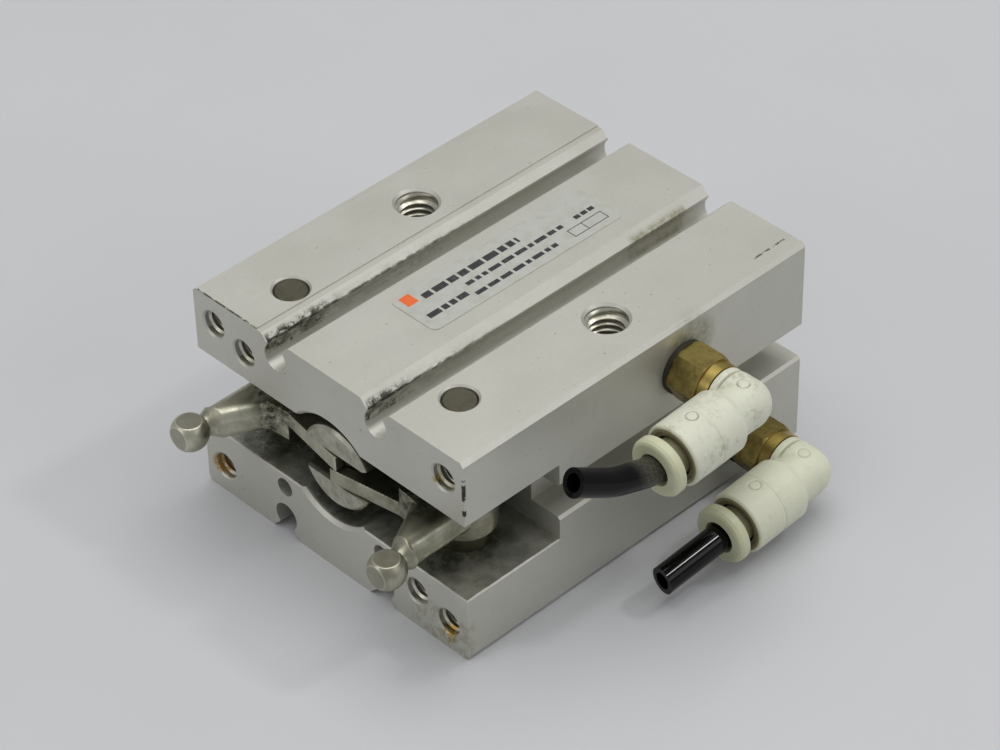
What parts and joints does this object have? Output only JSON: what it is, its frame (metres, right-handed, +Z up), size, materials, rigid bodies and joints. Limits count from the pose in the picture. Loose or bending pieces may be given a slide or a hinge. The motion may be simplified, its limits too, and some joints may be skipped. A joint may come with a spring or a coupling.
{
  "type": "pneumatic parallel gripper actuator",
  "caption": "Small air-driven parallel gripper body with finger guide removed: piston-driven crossed levers, sensor grooves and elbow push-in fittings with cut tube stubs.",
  "frame": {"origin": "centre of the housing's bottom face", "axes": "+X right seen from the lever end, towards the fittings; +Y from the lever end to the rear; +Z up"},
  "size_m": [0.0676, 0.0737, 0.0341],
  "materials": {
    "anodised_aluminium": "matte hard anodised, stained and scuffed",
    "cover_aluminium": "turned",
    "piston_aluminium": "turned",
    "lever_steel": "satin ground, oily",
    "rod_steel": "fine ground",
    "pin_steel": "ground, dark",
    "spring_steel": "black phosphate",
    "collet_steel": "pressed stainless",
    "plated_brass": "tarnished turned brass",
    "bush_bronze": "sintered bronze",
    "gasket_ring": "dark sealing ring",
    "seal_rubber": "black nitrile",
    "bumper_urethane": "urethane",
    "magnet_rubber": "rubber-bonded magnet",
    "wear_resin": "filled resin",
    "elbow_resin": "ivory moulded resin, grimy",
    "button_resin": "ivory moulded resin",
    "guide_resin": "khaki moulded resin",
    "tube_nylon": "glossy black nylon tube",
    "label_film": "thin satin film"
  },
  "bodies": {
    "housing": {"body_housing": "anodised_aluminium", "rating_label": "label_film", "rod_cover": "cover_aluminium", "rod_cover_oring": "seal_rubber", "rod_seal": "seal_rubber", "front_bumper": "bumper_urethane", "rear_bumper": "bumper_urethane", "end_cap": "cover_aluminium", "cap_gasket": "seal_rubber", "retaining_ring": "spring_steel", "left_lever_shaft": "pin_steel", "right_lever_shaft": "pin_steel", "lever_spacers": "pin_steel", "upper_port_stud": "plated_brass", "lower_port_stud": "plated_brass", "upper_port_gasket": "gasket_ring", "lower_port_gasket": "gasket_ring", "upper_stud_oring": "seal_rubber", "lower_stud_oring": "seal_rubber"},
    "piston_assembly": {"piston": "piston_aluminium", "piston_rod": "rod_steel", "piston_seal": "seal_rubber", "magnet_ring": "magnet_rubber", "wear_ring": "wear_resin", "rod_nut": "pin_steel", "joint_pin": "pin_steel"},
    "left_lever_body": {"left_lever": "lever_steel", "left_lever_bush": "bush_bronze"},
    "right_lever_body": {"right_lever": "lever_steel", "right_lever_bush": "bush_bronze"},
    "upper_fitting": {"upper_elbow": "elbow_resin", "upper_tube_seal": "seal_rubber", "upper_collet": "collet_steel", "upper_guide_ring": "guide_resin", "upper_air_tube": "tube_nylon"},
    "upper_button": {"upper_release_button": "button_resin"},
    "lower_fitting": {"lower_elbow": "elbow_resin", "lower_tube_seal": "seal_rubber", "lower_collet": "collet_steel", "lower_guide_ring": "guide_resin", "lower_air_tube": "tube_nylon"},
    "lower_button": {"lower_release_button": "button_resin"}
  },
  "joints": [
    {"name": "piston_slide", "type": "slide", "parent": "housing", "child": "piston_assembly", "axis": [0, 1, 0], "range_m": [0, 0.0067]},
    {"name": "right_lever_pivot", "type": "hinge", "parent": "housing", "child": "right_lever_body", "pos_m": [0.0162, -0.02315, 0.017], "axis": [0, 0, 1], "range_deg": [-23.3, 0]},
    {"name": "left_lever_pivot", "type": "hinge", "parent": "housing", "child": "left_lever_body", "pos_m": [-0.0162, -0.02315, 0.017], "axis": [0, 0, 1], "range_deg": [0, 23.3]},
    {"name": "upper_elbow_swivel", "type": "hinge", "parent": "housing", "child": "upper_fitting", "pos_m": [0.0332, 0.00815, 0.02655], "axis": [-1, 0, 0], "range_deg": [-8, 150]},
    {"name": "lower_elbow_swivel", "type": "hinge", "parent": "housing", "child": "lower_fitting", "pos_m": [0.0332, 0.02095, 0.0068], "axis": [-1, 0, 0], "range_deg": [-150, 12]},
    {"name": "upper_button_press", "type": "slide", "parent": "upper_fitting", "child": "upper_button", "axis": [0, 0.9982, 0.0593], "range_m": [0, 0.0011], "stiffness_N_per_m": 150},
    {"name": "lower_button_press", "type": "slide", "parent": "lower_fitting", "child": "lower_button", "axis": [0, 0.9978, 0.0663], "range_m": [0, 0.0011], "stiffness_N_per_m": 150}
  ],
  "couplings": [
    {"joint": "right_lever_pivot", "follows": "piston_slide", "rad_per_m": -60.404},
    {"joint": "left_lever_pivot", "follows": "piston_slide", "rad_per_m": 60.404}
  ]
}
